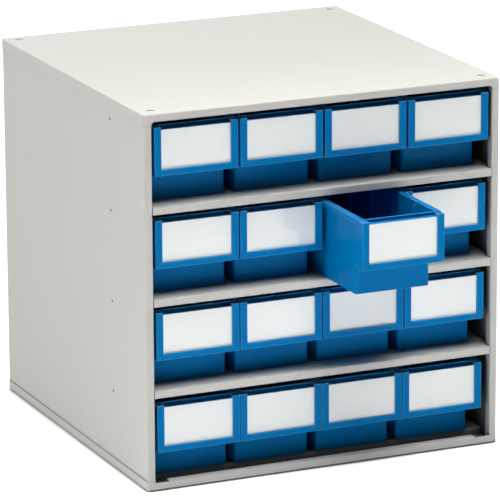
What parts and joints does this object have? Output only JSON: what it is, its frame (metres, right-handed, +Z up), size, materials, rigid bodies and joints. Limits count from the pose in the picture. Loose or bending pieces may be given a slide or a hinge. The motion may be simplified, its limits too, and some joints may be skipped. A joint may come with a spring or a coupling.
{
  "type": "parts bin cabinet",
  "caption": "Open-fronted steel cabinet with shelves full of pull-out plastic bins, each with a label window on its grip block.",
  "frame": {"origin": "on the ground under the middle of the cabinet's footprint", "axes": "+X to the right seen from the front, +Y from the open front to the back, +Z up; the bins pull out along -Y"},
  "size_m": [0.4, 0.4927, 0.3957],
  "materials": {
    "steel_light_grey": "powder-coated sheet steel, fine satin texture",
    "blue_polypropylene": "injection-moulded polypropylene, satin",
    "white_card": "plain white card",
    "clear_cover": "clear glossy film strip",
    "foot_rubber": "matt rubber"
  },
  "bodies": {
    "cabinet": {"top_panel": "steel_light_grey", "bottom_tray": "steel_light_grey", "floor_panel": "steel_light_grey", "side_left": "steel_light_grey", "side_right": "steel_light_grey", "back_panel": "steel_light_grey", "feet": "foot_rubber", "shelf_r1": "steel_light_grey", "shelf_r2": "steel_light_grey", "shelf_r3": "steel_light_grey"},
    "bin_body_r1c1": {"bin_r1c1": "blue_polypropylene", "label_r1c1": "white_card", "cover_r1c1": "clear_cover"},
    "bin_body_r1c2": {"bin_r1c2": "blue_polypropylene", "label_r1c2": "white_card", "cover_r1c2": "clear_cover"},
    "bin_body_r1c3": {"bin_r1c3": "blue_polypropylene", "label_r1c3": "white_card", "cover_r1c3": "clear_cover"},
    "bin_body_r1c4": {"bin_r1c4": "blue_polypropylene", "label_r1c4": "white_card", "cover_r1c4": "clear_cover"},
    "bin_body_r2c1": {"bin_r2c1": "blue_polypropylene", "label_r2c1": "white_card", "cover_r2c1": "clear_cover"},
    "bin_body_r2c2": {"bin_r2c2": "blue_polypropylene", "label_r2c2": "white_card", "cover_r2c2": "clear_cover"},
    "bin_body_r2c3": {"bin_r2c3": "blue_polypropylene", "label_r2c3": "white_card", "cover_r2c3": "clear_cover"},
    "bin_body_r2c4": {"bin_r2c4": "blue_polypropylene", "label_r2c4": "white_card", "cover_r2c4": "clear_cover"},
    "bin_body_r3c1": {"bin_r3c1": "blue_polypropylene", "label_r3c1": "white_card", "cover_r3c1": "clear_cover"},
    "bin_body_r3c2": {"bin_r3c2": "blue_polypropylene", "label_r3c2": "white_card", "cover_r3c2": "clear_cover"},
    "bin_body_r3c3": {"bin_r3c3": "blue_polypropylene", "label_r3c3": "white_card", "cover_r3c3": "clear_cover"},
    "bin_body_r3c4": {"bin_r3c4": "blue_polypropylene", "label_r3c4": "white_card", "cover_r3c4": "clear_cover"},
    "bin_body_r4c1": {"bin_r4c1": "blue_polypropylene", "label_r4c1": "white_card", "cover_r4c1": "clear_cover"},
    "bin_body_r4c2": {"bin_r4c2": "blue_polypropylene", "label_r4c2": "white_card", "cover_r4c2": "clear_cover"},
    "bin_body_r4c3": {"bin_r4c3": "blue_polypropylene", "label_r4c3": "white_card", "cover_r4c3": "clear_cover"},
    "bin_body_r4c4": {"bin_r4c4": "blue_polypropylene", "label_r4c4": "white_card", "cover_r4c4": "clear_cover"}
  },
  "joints": [
    {"name": "slide_r1c1", "type": "slide", "parent": "cabinet", "child": "bin_body_r1c1", "axis": [0, -1, 0], "range_m": [0, 0.35]},
    {"name": "slide_r1c2", "type": "slide", "parent": "cabinet", "child": "bin_body_r1c2", "axis": [0, -1, 0], "range_m": [0, 0.35]},
    {"name": "slide_r1c3", "type": "slide", "parent": "cabinet", "child": "bin_body_r1c3", "axis": [0, -1, 0], "range_m": [0, 0.35]},
    {"name": "slide_r1c4", "type": "slide", "parent": "cabinet", "child": "bin_body_r1c4", "axis": [0, -1, 0], "range_m": [0, 0.35]},
    {"name": "slide_r2c1", "type": "slide", "parent": "cabinet", "child": "bin_body_r2c1", "axis": [0, -1, 0], "range_m": [0, 0.35]},
    {"name": "slide_r2c2", "type": "slide", "parent": "cabinet", "child": "bin_body_r2c2", "axis": [0, -1, 0], "range_m": [0, 0.35]},
    {"name": "slide_r2c3", "type": "slide", "parent": "cabinet", "child": "bin_body_r2c3", "axis": [0, -1, 0], "range_m": [-0.095, 0.255]},
    {"name": "slide_r2c4", "type": "slide", "parent": "cabinet", "child": "bin_body_r2c4", "axis": [0, -1, 0], "range_m": [0, 0.35]},
    {"name": "slide_r3c1", "type": "slide", "parent": "cabinet", "child": "bin_body_r3c1", "axis": [0, -1, 0], "range_m": [0, 0.35]},
    {"name": "slide_r3c2", "type": "slide", "parent": "cabinet", "child": "bin_body_r3c2", "axis": [0, -1, 0], "range_m": [0, 0.35]},
    {"name": "slide_r3c3", "type": "slide", "parent": "cabinet", "child": "bin_body_r3c3", "axis": [0, -1, 0], "range_m": [0, 0.35]},
    {"name": "slide_r3c4", "type": "slide", "parent": "cabinet", "child": "bin_body_r3c4", "axis": [0, -1, 0], "range_m": [0, 0.35]},
    {"name": "slide_r4c1", "type": "slide", "parent": "cabinet", "child": "bin_body_r4c1", "axis": [0, -1, 0], "range_m": [0, 0.35]},
    {"name": "slide_r4c2", "type": "slide", "parent": "cabinet", "child": "bin_body_r4c2", "axis": [0, -1, 0], "range_m": [0, 0.35]},
    {"name": "slide_r4c3", "type": "slide", "parent": "cabinet", "child": "bin_body_r4c3", "axis": [0, -1, 0], "range_m": [0, 0.35]},
    {"name": "slide_r4c4", "type": "slide", "parent": "cabinet", "child": "bin_body_r4c4", "axis": [0, -1, 0], "range_m": [0, 0.35]}
  ]
}
